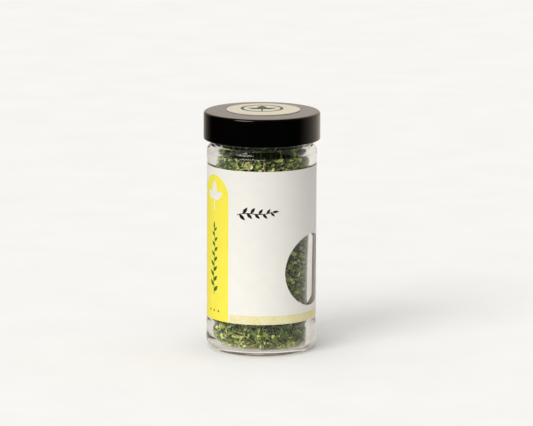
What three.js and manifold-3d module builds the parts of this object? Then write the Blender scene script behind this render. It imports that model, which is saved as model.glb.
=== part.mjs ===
// A glass spice jar of dried parsley, closed by a black screw cap.
// Millimetres, +Z up, the origin at the middle of the jar's base. The jar's front looks along -Y,
// and an angle round the jar is 0 at the front and grows towards +X, on the right.
import * as THREE from "three";
import { mergeVertices } from "three/addons/utils/BufferGeometryUtils.js";
import Module from "manifold-3d";

const wasm = await Module();
wasm.setup();

// Jar: outside
const BODY_RADIUS = 25.3;
const PANEL_RADIUS = 25.0;
const PANEL_BOTTOM = 14.8;
const PANEL_TOP = 87.2;
const PANEL_STEP = 0.6;
const HEEL_RADIUS = 4.5;
const BEARING_INNER_RADIUS = 17.0;
const PUSH_UP = 1.1;
const SHOULDER_RADIUS = 3.5;
const SHOULDER_CENTRE_Z = 91.7;
const NECK_RADIUS = 22.2;
const RIM_Z = 106.9;
const RIM_ROUNDING = 0.9;

// Jar: inside
const INNER_RADIUS = 21.6;
const BORE_RADIUS = 19.6;
const FLOOR_Z = 4.8;
const FLOOR_CROWN = 0.6;
const DOME_STEPS = 3;
const INNER_CORNER_RADIUS = 4.0;
const BORE_FOOT_Z = 96.0;
const INNER_SHOULDER_Z = 91.0;

// Screw thread, one start, right-handed, shared by the neck and the cap
const THREAD_PITCH = 4.2;
const THREAD_ROOT_WIDTH = 2.0;
const THREAD_CREST_WIDTH = 1.0;
const NECK_THREAD_RADIUS = 23.4;
const NECK_THREAD_BOTTOM_Z = 100.2;
const NECK_THREAD_DEGREES = 400;
const CAP_THREAD_RADIUS = 22.7;
const CAP_THREAD_LEAD_IN_DEGREES = 30;
const THREAD_FLANK_OFFSET = 1.52;
const THREAD_TAPER_DEGREES = 30;
const THREAD_STEP_DEGREES = 10;
const THREAD_START_DEGREES = 120;
const THREAD_SINK = 0.4;
const THREAD_END_HEIGHT = 0.25;

// Cap
const CAP_RADIUS = 26.8;
const CAP_BOTTOM_Z = 97.8;
const CAP_TOP_Z = 110.5;
const CAP_INNER_RADIUS = 24.1;
const CAP_ROOF_THICKNESS = 1.9;
const CAP_EDGE_ROUNDING = 1.2;
const CAP_FOOT_CHAMFER = 0.4;

// Liner, sticker and label
const LINER_RADIUS = 23.4;
const LINER_THICKNESS = 1.1;
const CLEARANCE = 0.3;
const STICKER_RADIUS = 16.9;
const STICKER_CENTRE = [0.6, 3.4];
const PAPER_THICKNESS = 0.15;
const GLUE_GAP = 0.05;
const LABEL_BOTTOM_Z = 15.5;
const LABEL_TOP_Z = 86.4;
const LABEL_SEAM_GAP = 1.6;
const WINDOW_RADIUS = 16.6;
const WINDOW_DEGREES = 63.3;
const WINDOW_FAR_EDGE_DEGREES = 84.4;
const WINDOW_Z = 38.95;
const WINDOW_SIDES = 40;

// Dried parsley
const CORE_DEPTH = 1.9;
const FILL_TOP_Z = 99.0;
const HEAP_RISE = 0.8;
const TOP_FLAKES_RISE = 1.6;
const SIDE_FLAKES = 132;
const SIDE_FLAKES_FROM_Z = 7.3;
const SIDE_FLAKES_TO_Z = 97.5;
const TOP_FLAKES = 14;
const TOP_FLAKES_RADIUS = 15.6;
const FLAKE_LENGTH = [7.5, 10.5];
const FLAKE_THICKNESS = 0.7;
const FLAKE_ROOT_DEPTH = 2.5;
const FLAKE_TILT = [0.04, 0.2];
const FLAKE_CUP = 0.04;
const FLAKE_TWIST = [-1.5, 1.5];
const STEM_BITS = 12;
const STEM_BITS_PHASE = 0.37;
const STEM_LENGTH = [7, 12];
const STEM_RADIUS = 0.6;
const STEM_THIN_END = 0.8;
const STEM_SIDES = 5;
const SEED = 20417;

const ROUND_SIDES = 60;
const ARC_STEPS = 4;
const CORE_SIDES = 20;
const SMALLEST_DETAIL = 0.12;
const MERGE_DISTANCE = 1e-3;
const CUT_MARGIN = 2;
const DEGREE = Math.PI / 180;
const ANY_TURN = [0, 2 * Math.PI];
const GOLDEN_TURN = Math.PI * (3 - Math.sqrt(5));
const UP = new THREE.Vector3(0, 0, 1);

const v2 = (x, y) => new THREE.Vector2(x, y);

// A repeatable stream of numbers from 0 to 1.
function randomStream(seed) {
  let state = seed >>> 0;
  return () => {
    state = (state + 0x6d2b79f5) >>> 0;
    let t = state;
    t = Math.imul(t ^ (t >>> 15), t | 1);
    t ^= t + Math.imul(t ^ (t >>> 7), t | 61);
    return ((t ^ (t >>> 14)) >>> 0) / 4294967296;
  };
}

// Solids: a closed three.js geometry as a manifold, and back again.
function solidOf(geometry) {
  const bare = geometry.clone();
  bare.deleteAttribute("normal");
  bare.deleteAttribute("uv");
  const merged = mergeVertices(bare, MERGE_DISTANCE);
  const index = merged.index.array;
  const triangles = [];
  for (let i = 0; i < index.length; i += 3) {
    const [a, b, c] = [index[i], index[i + 1], index[i + 2]];
    if (a !== b && b !== c && c !== a) triangles.push(a, b, c);
  }
  const make = (list) =>
    new wasm.Manifold(
      new wasm.Mesh({
        numProp: 3,
        vertProperties: new Float32Array(merged.attributes.position.array),
        triVerts: new Uint32Array(list),
      }),
    );
  const made = make(triangles);
  return made.volume() < 0 ? make(triangles.reverse()) : made;
}

function geometryOf(solid) {
  const mesh = solid.getMesh();
  const geometry = new THREE.BufferGeometry()
    .setAttribute("position", new THREE.BufferAttribute(mesh.vertProperties, mesh.numProp))
    .setIndex(new THREE.BufferAttribute(mesh.triVerts, 1))
    .toNonIndexed();
  geometry.computeVertexNormals();
  return geometry;
}

// The largest single body of a solid, rid of slivers and of crumbs cut loose.
function largestBody(solid) {
  const clean = solidOf(geometryOf(solid.simplify(SMALLEST_DETAIL)));
  return clean.decompose().sort((a, b) => b.volume() - a.volume())[0];
}

// Points of an arc from one angle to another, in degrees, both ends included.
function arc(centreX, centreY, radius, from, to) {
  return Array.from({ length: ARC_STEPS + 1 }, (_, i) => {
    const angle = (from + ((to - from) * i) / ARC_STEPS) * DEGREE;
    return v2(centreX + radius * Math.cos(angle), centreY + radius * Math.sin(angle));
  });
}

// Points from the axis out to a radius, along a shallow dome that ends at edgeZ.
function dome(radius, middleZ, edgeZ) {
  return Array.from({ length: DOME_STEPS + 1 }, (_, i) => {
    const share = i / DOME_STEPS;
    return v2(radius * share, THREE.MathUtils.lerp(middleZ, edgeZ, share * share));
  });
}

// A profile of radius and height turned round the Z axis.
function turned(profile, sides = ROUND_SIDES) {
  return solidOf(new THREE.LatheGeometry(profile, sides).rotateX(Math.PI / 2));
}

function disc(radius, bottom, top) {
  return turned([v2(0, bottom), v2(radius, bottom), v2(radius, top), v2(0, top)]);
}

// A helical ridge between a wall and a crest. It fades into the wall at both ends.
function thread(wallRadius, crestRadius, bottomZ, startDegrees, turnDegrees) {
  const outward = Math.sign(crestRadius - wallRadius);
  const rise = Math.abs(crestRadius - wallRadius);
  const section = new THREE.Shape([
    v2(-THREAD_SINK, -THREAD_ROOT_WIDTH / 2),
    v2(rise, -THREAD_CREST_WIDTH / 2),
    v2(rise, THREAD_CREST_WIDTH / 2),
    v2(-THREAD_SINK, THREAD_ROOT_WIDTH / 2),
  ]);
  const steps = Math.round(turnDegrees / THREAD_STEP_DEGREES);
  const strip = new THREE.ExtrudeGeometry(section, { depth: 1, steps, bevelEnabled: false });
  const place = strip.attributes.position;
  for (let i = 0; i < place.count; i++) {
    const along = place.getZ(i) * turnDegrees;
    const fromEnd = Math.min(along, turnDegrees - along) / THREAD_TAPER_DEGREES;
    const full = Math.min(1, fromEnd);
    const height = -THREAD_SINK + (place.getX(i) + THREAD_SINK) * Math.max(THREAD_END_HEIGHT, full);
    const radius = wallRadius + outward * height;
    const angle = (startDegrees + along) * DEGREE;
    const z = bottomZ + (THREAD_PITCH * along) / 360 + place.getY(i);
    place.setXYZ(i, radius * Math.cos(angle), radius * Math.sin(angle), z);
  }
  return solidOf(strip);
}

// Jar
function jar() {
  const heelCentre = BODY_RADIUS - HEEL_RADIUS;
  const shoulderCentre = BODY_RADIUS - SHOULDER_RADIUS;
  const shoulderEnd = Math.acos((NECK_RADIUS - shoulderCentre) / SHOULDER_RADIUS) / DEGREE;
  const cornerCentre = INNER_RADIUS - INNER_CORNER_RADIUS;
  const profile = [
    ...dome(BEARING_INNER_RADIUS, PUSH_UP, 0),
    ...arc(heelCentre, HEEL_RADIUS, HEEL_RADIUS, -90, 0),
    v2(BODY_RADIUS, PANEL_BOTTOM - PANEL_STEP),
    v2(PANEL_RADIUS, PANEL_BOTTOM),
    v2(PANEL_RADIUS, PANEL_TOP),
    v2(BODY_RADIUS, PANEL_TOP + PANEL_STEP),
    ...arc(shoulderCentre, SHOULDER_CENTRE_Z, SHOULDER_RADIUS, 0, shoulderEnd),
    v2(NECK_RADIUS, RIM_Z - RIM_ROUNDING),
    v2(NECK_RADIUS - RIM_ROUNDING, RIM_Z),
    v2(BORE_RADIUS + RIM_ROUNDING, RIM_Z),
    v2(BORE_RADIUS, RIM_Z - RIM_ROUNDING),
    v2(BORE_RADIUS, BORE_FOOT_Z),
    v2((BORE_RADIUS + INNER_RADIUS) / 2, (BORE_FOOT_Z + INNER_SHOULDER_Z) / 2),
    v2(INNER_RADIUS, INNER_SHOULDER_Z),
    ...arc(cornerCentre, FLOOR_Z + INNER_CORNER_RADIUS, INNER_CORNER_RADIUS, 0, -90),
    v2(0, FLOOR_Z + FLOOR_CROWN),
  ];
  const neckThread = thread(
    NECK_RADIUS,
    NECK_THREAD_RADIUS,
    NECK_THREAD_BOTTOM_Z,
    THREAD_START_DEGREES,
    NECK_THREAD_DEGREES,
  );
  return turned(profile).add(neckThread);
}

// Cap: its thread lies just under the neck's, as when it is screwed down.
function cap() {
  const edge = CAP_RADIUS - CAP_EDGE_ROUNDING;
  const roofZ = CAP_TOP_Z - CAP_ROOF_THICKNESS;
  const shell = turned([
    v2(CAP_INNER_RADIUS, CAP_BOTTOM_Z),
    v2(CAP_RADIUS - CAP_FOOT_CHAMFER, CAP_BOTTOM_Z),
    v2(CAP_RADIUS, CAP_BOTTOM_Z + CAP_FOOT_CHAMFER),
    ...arc(edge, CAP_TOP_Z - CAP_EDGE_ROUNDING, CAP_EDGE_ROUNDING, 0, 90),
    v2(0, CAP_TOP_Z),
    v2(0, roofZ),
    v2(CAP_INNER_RADIUS, roofZ),
    v2(CAP_INNER_RADIUS, CAP_BOTTOM_Z),
  ]);
  const leadInRise = (THREAD_PITCH * CAP_THREAD_LEAD_IN_DEGREES) / 360;
  const capThread = thread(
    CAP_INNER_RADIUS,
    CAP_THREAD_RADIUS,
    NECK_THREAD_BOTTOM_Z + leadInRise - THREAD_FLANK_OFFSET,
    THREAD_START_DEGREES + CAP_THREAD_LEAD_IN_DEGREES,
    NECK_THREAD_DEGREES - CAP_THREAD_LEAD_IN_DEGREES,
  );
  return shell.add(capThread);
}

// Liner: a foam disc that the cap presses on the jar's rim
function liner() {
  const bottom = RIM_Z + CLEARANCE;
  return disc(LINER_RADIUS, bottom, bottom + LINER_THICKNESS);
}

function sticker() {
  const bottom = CAP_TOP_Z + GLUE_GAP;
  return disc(STICKER_RADIUS, bottom, bottom + PAPER_THICKNESS);
}

// Label: a paper sleeve with a round window and a seam at the back
function label() {
  const inner = PANEL_RADIUS + GLUE_GAP;
  const outer = inner + PAPER_THICKNESS;
  const sleeve = turned([
    v2(inner, LABEL_BOTTOM_Z),
    v2(outer, LABEL_BOTTOM_Z),
    v2(outer, LABEL_TOP_Z),
    v2(inner, LABEL_TOP_Z),
    v2(inner, LABEL_BOTTOM_Z),
  ]);
  const seamHeight = LABEL_TOP_Z - LABEL_BOTTOM_Z + CUT_MARGIN;
  const seamZ = (LABEL_TOP_Z + LABEL_BOTTOM_Z) / 2;
  const seam = new THREE.BoxGeometry(LABEL_SEAM_GAP, CUT_MARGIN, seamHeight);
  seam.translate(0, outer, seamZ);
  return sleeve.subtract(solidOf(seam)).subtract(windowCutter(outer));
}

// The window is round on the flat paper, so its outline narrows as the paper bends.
// Its far side is cut off straight, from corner to corner.
function windowCutter(radius) {
  const farReach = (WINDOW_FAR_EDGE_DEGREES - WINDOW_DEGREES) * DEGREE * radius;
  const corner = Math.acos(farReach / WINDOW_RADIUS);
  const outline = Array.from({ length: WINDOW_SIDES + 1 }, (_, i) => {
    const turn = corner + (2 * (Math.PI - corner) * i) / WINDOW_SIDES;
    const across = radius * Math.sin((WINDOW_RADIUS * Math.cos(turn)) / radius);
    return v2(across, WINDOW_RADIUS * Math.sin(turn));
  });
  const depth = radius + CUT_MARGIN;
  const cutter = new THREE.ExtrudeGeometry(new THREE.Shape(outline), { depth, bevelEnabled: false });
  cutter.rotateX(Math.PI / 2).rotateZ(WINDOW_DEGREES * DEGREE).translate(0, 0, WINDOW_Z);
  return solidOf(cutter);
}

// The space that the parsley may fill, held back from the glass by a margin.
function fillProfile(margin, topZ) {
  const side = INNER_RADIUS - margin;
  const bore = BORE_RADIUS - margin;
  const corner = INNER_CORNER_RADIUS;
  return [
    v2(0, FLOOR_Z + FLOOR_CROWN + margin),
    v2(side - corner, FLOOR_Z + margin),
    ...arc(side - corner, FLOOR_Z + margin + corner, corner, -90, 0).slice(1),
    v2(side, INNER_SHOULDER_Z - margin / 2),
    v2(bore, BORE_FOOT_Z - margin / 2),
    v2(bore, topZ),
    v2(0, topZ + HEAP_RISE),
  ];
}

// Flake outline: a wedge of leaf with three blunt lobes, unit length, its base at the bottom.
const FLAKE_OUTLINE = [
  [0.02, -0.5],
  [0.5, 0.04],
  [0.2, 0.12],
  [0.06, 0.5],
  [-0.16, 0.14],
  [-0.5, 0.1],
].map(([x, y]) => v2(x, y));

function flakeGeometry(length, twist) {
  const leaf = new THREE.ExtrudeGeometry(new THREE.Shape(FLAKE_OUTLINE), { depth: 1, bevelEnabled: false });
  const place = leaf.attributes.position;
  for (let i = 0; i < place.count; i++) {
    const x = place.getX(i) * length;
    const y = place.getY(i) * length;
    const rise = place.getZ(i) * FLAKE_THICKNESS + FLAKE_CUP * (x * x + twist * x * y);
    place.setXYZ(i, x, y, rise);
  }
  return leaf;
}

function stemGeometry(length) {
  return new THREE.CylinderGeometry(STEM_RADIUS, STEM_RADIUS * STEM_THIN_END, length, STEM_SIDES);
}

// Moves a piece that lies in the XY plane to a point, with its face towards a direction.
function settled(geometry, point, facing, spin, tilt, tiltSpin) {
  const turn = new THREE.Quaternion().setFromAxisAngle(UP, spin);
  const axis = new THREE.Vector3(Math.cos(tiltSpin), Math.sin(tiltSpin), 0);
  const lean = new THREE.Quaternion().setFromAxisAngle(axis, tilt);
  const pose = new THREE.Quaternion().setFromUnitVectors(UP, facing).multiply(lean).multiply(turn);
  return geometry.applyQuaternion(pose).translate(point.x, point.y, point.z);
}

// A place on the side of the fill: a share of its height, and an angle round it.
function sidePlace(share, angle) {
  const z = THREE.MathUtils.lerp(SIDE_FLAKES_FROM_Z, SIDE_FLAKES_TO_Z, share);
  const inNeck = THREE.MathUtils.smoothstep(z, INNER_SHOULDER_Z, BORE_FOOT_Z);
  const radius = THREE.MathUtils.lerp(INNER_RADIUS, BORE_RADIUS, inNeck) - FLAKE_ROOT_DEPTH;
  const facing = new THREE.Vector3(Math.sin(angle), -Math.cos(angle), 0);
  return { point: facing.clone().multiplyScalar(radius).setZ(z), facing };
}

// Parsley: a packed core, with flakes and stem bits standing out of it all round and on top
function parsley() {
  const random = randomStream(SEED);
  const between = ([low, high]) => low + (high - low) * random();
  const leaf = () => flakeGeometry(between(FLAKE_LENGTH), between(FLAKE_TWIST));
  const pieces = [];
  const scatter = (shape, point, facing, tilt) =>
    pieces.push(settled(shape, point, facing, between(ANY_TURN), tilt, between(ANY_TURN)));
  for (let i = 0; i < SIDE_FLAKES; i++) {
    const { point, facing } = sidePlace((i + 0.5) / SIDE_FLAKES, i * GOLDEN_TURN);
    scatter(leaf(), point, facing, between(FLAKE_TILT));
  }
  for (let i = 0; i < STEM_BITS; i++) {
    const { point, facing } = sidePlace((i + 0.5) / STEM_BITS, (i + STEM_BITS_PHASE) * GOLDEN_TURN);
    const lying = point.addScaledVector(facing, FLAKE_THICKNESS);
    scatter(stemGeometry(between(STEM_LENGTH)), lying, facing, 0);
  }
  for (let i = 0; i < TOP_FLAKES; i++) {
    const radius = TOP_FLAKES_RADIUS * Math.sqrt((i + 0.5) / TOP_FLAKES);
    const point = new THREE.Vector3(radius, 0, FILL_TOP_Z).applyAxisAngle(UP, i * GOLDEN_TURN);
    scatter(leaf(), point, UP, between(FLAKE_TILT));
  }
  const core = turned(fillProfile(CORE_DEPTH, FILL_TOP_Z), CORE_SIDES);
  const limit = turned(fillProfile(CLEARANCE, FILL_TOP_Z + TOP_FLAKES_RISE));
  return largestBody(wasm.Manifold.union([core, ...pieces.map(solidOf)]).intersect(limit));
}

const look = (color, roughness, metalness = 0, extra = {}) =>
  new THREE.MeshStandardMaterial({ color, roughness, metalness, ...extra });
const GLASS = look("#eef2ee", 0.03, 0, { transparent: true, opacity: 0.3 });
const BLACK_PLASTIC = look("#0c0b0a", 0.32);
const LABEL_PAPER = look("#efede6", 0.7);
const STICKER_PAPER = look("#ebe5d6", 0.7);
const WHITE_FOAM = look("#f4f3ef", 0.9);
const DRIED_LEAF = look("#5d7038", 0.85);

const part = new THREE.Group();
function addPiece(name, solid, material, parent = part) {
  const mesh = new THREE.Mesh(geometryOf(solid), material);
  mesh.name = name;
  parent.add(mesh);
  return mesh;
}

addPiece("jar", jar(), GLASS);
addPiece("label", label(), LABEL_PAPER);
addPiece("parsley_flakes", parsley(), DRIED_LEAF);

// What turns and rises together when the jar is opened
const closure = new THREE.Group();
addPiece("cap", cap(), BLACK_PLASTIC, closure);
addPiece("cap_liner", liner(), WHITE_FOAM, closure);
addPiece("cap_sticker", sticker(), STICKER_PAPER, closure).position.set(...STICKER_CENTRE, 0);
part.add(closure);

export default part;
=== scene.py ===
"""A glass spice jar of dried parsley: its looks, camera and light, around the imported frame.

Shapes are worked out in millimetres and made in metres. An angle round the jar is 0 at the front, on -Y,
and grows towards +X, on the right.
"""

import math

import bpy
import numpy as np
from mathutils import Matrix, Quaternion, Vector
from mathutils.geometry import delaunay_2d_cdt


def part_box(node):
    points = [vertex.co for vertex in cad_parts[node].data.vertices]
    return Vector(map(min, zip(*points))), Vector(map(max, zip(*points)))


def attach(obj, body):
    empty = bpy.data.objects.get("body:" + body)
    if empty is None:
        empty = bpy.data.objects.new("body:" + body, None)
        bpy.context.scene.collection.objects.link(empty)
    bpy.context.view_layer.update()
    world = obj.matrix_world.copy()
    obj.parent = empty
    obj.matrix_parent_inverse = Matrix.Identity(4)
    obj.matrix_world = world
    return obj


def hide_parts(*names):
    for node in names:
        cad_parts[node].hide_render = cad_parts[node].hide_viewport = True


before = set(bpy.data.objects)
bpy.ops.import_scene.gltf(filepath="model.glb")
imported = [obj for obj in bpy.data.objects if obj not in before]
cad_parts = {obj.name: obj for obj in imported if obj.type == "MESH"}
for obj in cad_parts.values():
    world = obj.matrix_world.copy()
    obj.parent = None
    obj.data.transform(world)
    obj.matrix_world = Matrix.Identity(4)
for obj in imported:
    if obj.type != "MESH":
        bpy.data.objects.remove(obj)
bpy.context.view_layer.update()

MM = 0.001
SEED = 7

# Sizes from the frame, in millimetres
JAR_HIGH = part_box("jar")[1] / MM
LABEL_LOW, LABEL_HIGH = (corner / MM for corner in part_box("label"))
CAP_LOW, CAP_HIGH = (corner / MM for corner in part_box("cap"))
LINER_LOW, LINER_HIGH = (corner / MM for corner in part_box("cap_liner"))
STICKER_LOW, STICKER_HIGH = (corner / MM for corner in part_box("cap_sticker"))
BODY_RADIUS = JAR_HIGH.x
RIM_Z = JAR_HIGH.z
LABEL_RADIUS = LABEL_HIGH.x
CAP_RADIUS = CAP_HIGH.x

# Jar, as in the part's source but for a thinner floor and softer corners, which look more like moulded glass
PANEL_RADIUS = BODY_RADIUS - 0.3
PANEL_Z = (14.8, 87.2)
PANEL_STEP = 2.2
PANEL_ROUNDING = 0.8
HEEL_RADIUS = 4.5
PUSH_UP = 1.1
BEARING_INNER_RADIUS = 17.0
SHOULDER_TOP_Z = 95.2
SHOULDER_EDGE_DROP = 1.6
SHOULDER_EDGE_ROUNDING = 3.2
RIM_ROUNDING = 0.9
NECK_RADIUS = 22.2
BORE_RADIUS = 19.6
INNER_RADIUS = 21.6
FLOOR_Z = 2.3
FLOOR_CROWN = 0.5
INNER_CORNER_RADIUS = 1.7
INNER_SHOULDER_Z = 91.4
BORE_FOOT_Z = 94.0
GLASS_WAVE = 0.1
# Painted light: a glow in the base's thick glass, standing in for the light that real glass gathers there: how
# strong, and the heights between which it fades
PAINTED_BASE_GLOW = 6.5
BASE_GLOW_Z = (3.0, 9.0)
# The glass's inside is not quite true. At each height: how far it leans to the right, how much wider it is.
LEAN = ((10, 40, 80, 96), (-0.45, 0.0, 0.6, 0.2))
WIDENING = ((14, 24, 90, 94), (0.75, 0.0, -0.1, 0.0))
# The wall is a little thicker beside the window: where, how far round and up that reaches, and how much
THICK_ANGLE = math.radians(60)
THICK_Z = 38.0
THICK_TURN = math.radians(45)
THICK_RISE = 34.0
THICKENING = 0.15
# Where that unevenness fades out: its waves below the inner shoulder, and all of it at the floor and the rim
WAVE_END_Z = INNER_SHOULDER_Z - 1
WAVE_FADE = 6
FLOOR_FADE = 5
UNEVEN_END_Z = RIM_Z - 4
UNEVEN_FADE = 8
# The floor's own waves lie within this radius, and the wall's start outside the other
FLOOR_WAVE_RADIUS = 19
WALL_WAVE_RADIUS = 10
RADIUS_FADE = 8
# Longest stretches of an outline, on a wall with a thread and elsewhere
THREAD_STEP = 0.3
GLASS_STEP = 1.4
OUTLINE_STEP = 2.0

# Screw thread, as in the part's source
PITCH = 4.2
NECK_THREAD_RADIUS = 23.4
NECK_THREAD_Z = 100.2
NECK_THREAD_TURN = math.radians(400)
CAP_INNER_RADIUS = 24.1
CAP_ROOF_THICKNESS = 1.9
CAP_EDGE_FILLET = 1.2
CAP_THREAD_RADIUS = 22.7
CAP_LEAD_IN = math.radians(30)
FLANK_OFFSET = 1.52
THREAD_START = math.radians(120)
THREAD_TAPER = math.radians(30)
THREAD_ROOT_WIDTH = 2.0
THREAD_CREST_WIDTH = 1.0

# Label: the paper, its window, and the printed marks in its flat measures
PAPER = 0.15
SEAM_GAP = 1.6
WINDOW_RADIUS = 16.6
WINDOW_ANGLE = math.radians(63.3)
WINDOW_Z = 38.95
WINDOW_FAR_EDGE = math.radians(84.4) * LABEL_RADIUS
FOOT_BAND_Z = (LABEL_LOW.z + 0.12, LABEL_LOW.z + 4.1)
FOOT_BAND_GAP = 0.7
BAND_HALF_WIDTH = 9.7
BAND_CENTRE = math.radians(-58.9) * LABEL_RADIUS
ARCH_Z = 73.3
BAND_LEAF_SIZE = 13.8
VINE_Z = (27.5, 58.0)
DOTS_Z = 19.9
DOT_GAP = 3.4
SPRAY_ENDS = ((-11.6, 66.2), (4.9, 67.8))
BAND_INK, GREEN_INK, DARK_INK, FOOT_INK = 1, 2, 3, 4
LABEL_GRID = (1.5, 5.0)

# Sticker: where its print stands, from its middle, and the radii of the printed ring
PRINT_OFFSET = (-0.6, 2.4)
PRINT_RING = (9.9, 8.5)
PRINT_LEAF_SIZE = 15.5

# Parsley: its top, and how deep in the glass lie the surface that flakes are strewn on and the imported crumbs
FILL_TOP_Z = 99.4
GLASS_CLEARANCE = 0.25
PRESS_SOFTNESS = 0.22
SKIN_DEPTH = 1.1
CORE_DEPTH = 2.6
# Only this share of the flakes lies where paper hides them, past these margins of window, label and seam
HIDDEN_COVER = 0.2
WINDOW_MARGIN = 7
LABEL_MARGIN = 6
SEAM_ANGLE = math.radians(165)
# Painted light and shade added to the flakes' tints: lighter on the left and darker on the right, as the light
# falls from the left, and darker in the neck, where the cap shades it, growing with height
LEFT_PAINTED_LIGHT, RIGHT_PAINTED_SHADE = 0.18, -0.07
NECK_PAINTED_SHADE = -0.6
NECK_SHADE_Z = (90.5, 93.5)

# Camera: its place and aim in metres, and where the aim falls in the picture, in pixels
PHOTO_SIZE = (533, 426)
FOCAL_PIXELS = 3960.9
CAMERA_PLACE = (0, -1.7919, 0.4000)
AIM = (0, 0, 0.055)
AIM_PIXEL = (261.6, 229.7)
CAMERA_ROLL = 0.0042

# Lamps: azimuth, elevation, width in degrees and strength
LIGHT_COLOUR = "#fffcf6"
KEY_LIGHT = (-41, 38, 32, 1.3)
SIDE_LIGHT = (-22, 32, 50, 0.75)
BACKDROP_COLOUR = "#f8f7f3"
# Light from above, how closely it keeps to the top, and far weaker light from all round
TOP_LIGHT = 1.55
TOP_LIGHT_POWER = 2.0
LEAST_LIGHT = 0.07
# What gloss and glass show of the room: its colour, and a direction along which it goes from dark to bright
GLOSS_ROOM = ("#f8ecdf", (0.35, 0.92, 0.0), (0.15, 0.95), 1.4)
GLASS_ROOM = ("#f8f7f3", (-0.4, 0.92, 0.0), (-1.6, 0.0), 1.0)
FLOOR_COLOUR = ("#e1e2e4", "#e4e5e7")
FLOOR_LOW, FLOOR_HIGH = (-330, -280), (330, 5000)
BOUNCES, GLASS_BOUNCES = 24, 20

ROUND = 192
FULL_TURN = 2 * math.pi
FILLET_STEP = math.radians(7)
SMOOTH_ANGLE = 35
PAPER_SMOOTH_ANGLE = 60


# Colour and nodes

def srgb(text, alpha=1.0):
    """A colour written as #rrggbb, turned to linear light."""
    parts = (int(text[i:i + 2], 16) / 255 for i in (1, 3, 5))
    linear = (c / 12.92 if c <= 0.04045 else ((c + 0.055) / 1.055) ** 2.4 for c in parts)
    return (*linear, alpha)


def add(tree, kind, inputs=None, **settings):
    """Adds a node with its settings. Each input is a value, or the socket that it is linked to."""
    node = tree.nodes.new(kind)
    for name, value in settings.items():
        setattr(node, name, value)
    for name, value in (inputs or {}).items():
        if isinstance(value, bpy.types.NodeSocket):
            tree.links.new(value, node.inputs[name])
        else:
            node.inputs[name].default_value = value
    return node


def new_material(name):
    """A material with a bare node tree: the tree, its output and its Principled shader."""
    material = bpy.data.materials.new(name)
    material.use_nodes = True
    tree = material.node_tree
    tree.nodes.clear()
    shader = add(tree, "ShaderNodeBsdfPrincipled")
    output = add(tree, "ShaderNodeOutputMaterial", {"Surface": shader.outputs["BSDF"]})
    return material, tree, shader, output


def speckle(tree, size_mm, detail=2.0, roughness=0.5):
    """Noise on object coordinates, with grains of a real size."""
    place = add(tree, "ShaderNodeTexCoord").outputs["Object"]
    inputs = {"Vector": place, "Scale": 1 / (size_mm * MM), "Detail": detail, "Roughness": roughness}
    return add(tree, "ShaderNodeTexNoise", inputs).outputs["Fac"]


def ramp(tree, value, stops):
    """A colour ramp: stops are (place, colour)."""
    node = add(tree, "ShaderNodeValToRGB", {"Fac": value})
    elements = node.color_ramp.elements
    while len(elements) < len(stops):
        elements.new(1.0)
    for element, (place, colour) in zip(elements, stops):
        element.position = place
        element.color = colour
    return node.outputs["Color"]


def grey(level):
    return (level, level, level, 1.0)


# Materials

def clear_glass():
    """Soda-lime glass, press-and-blow moulded: clear, smooth and glossy, a little tan where it is thick, with
    a painted glow in its base.
    """
    material, tree, shader, output = new_material("clear_soda_lime_glass_moulded")
    shader.inputs["Base Color"].default_value = srgb("#fbfcfa")
    shader.inputs["Roughness"].default_value = 0.0
    shader.inputs["IOR"].default_value = 1.52
    shader.inputs["Transmission Weight"].default_value = 1.0
    through = add(tree, "ShaderNodeBsdfTransparent", {"Color": srgb("#fcfdfb")})
    path = add(tree, "ShaderNodeLightPath")
    mix = add(tree, "ShaderNodeMixShader", {0: path.outputs["Is Shadow Ray"], 1: shader.outputs["BSDF"]})
    tree.links.new(through.outputs["BSDF"], mix.inputs[2])
    tree.links.new(mix.outputs["Shader"], output.inputs["Surface"])
    # A long way through soda-lime glass turns light a little warm and grey.
    depth = add(tree, "ShaderNodeVolumeAbsorption", {"Color": srgb("#d2c3ae"), "Density": 34.0})
    # Painted light: the thick base glows, standing in for the light that real glass gathers there, so it never
    # looks black.
    place = add(tree, "ShaderNodeTexCoord").outputs["Object"]
    height = add(tree, "ShaderNodeSeparateXYZ", {"Vector": place}).outputs["Z"]
    painted_glow_strength = add(tree, "ShaderNodeMapRange", {
        "Value": height, "From Min": BASE_GLOW_Z[0] * MM, "From Max": BASE_GLOW_Z[1] * MM,
        "To Min": PAINTED_BASE_GLOW, "To Max": 0.0,
    }).outputs["Result"]
    painted_base_light = add(tree, "ShaderNodeEmission", {"Color": srgb("#ffeedd"), "Strength": painted_glow_strength})
    inside = add(tree, "ShaderNodeAddShader", {0: depth.outputs["Volume"], 1: painted_base_light.outputs["Emission"]})
    tree.links.new(inside.outputs["Shader"], output.inputs["Volume"])
    return material


def black_plastic():
    """Black polypropylene, injection moulded: deep black with a soft satin shine."""
    material, tree, shader, _ = new_material("black_polypropylene_moulded")
    shader.inputs["Base Color"].default_value = srgb("#040303")
    shader.inputs["IOR"].default_value = 1.5
    shader.inputs["Specular Tint"].default_value = srgb("#fff3e4")
    mottling = speckle(tree, 3.0, 3.0)
    gloss = ramp(tree, mottling, [(0.3, grey(0.13)), (0.7, grey(0.19))])
    tree.links.new(gloss, shader.inputs["Roughness"])
    # Spark-eroded grain, drawn 0.35 mm wide so that it shows.
    grain = speckle(tree, 0.35)
    bump = add(tree, "ShaderNodeBump", {"Height": grain, "Strength": 0.12, "Distance": 0.05 * MM})
    tree.links.new(bump.outputs["Normal"], shader.inputs["Normal"])
    return material


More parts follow.
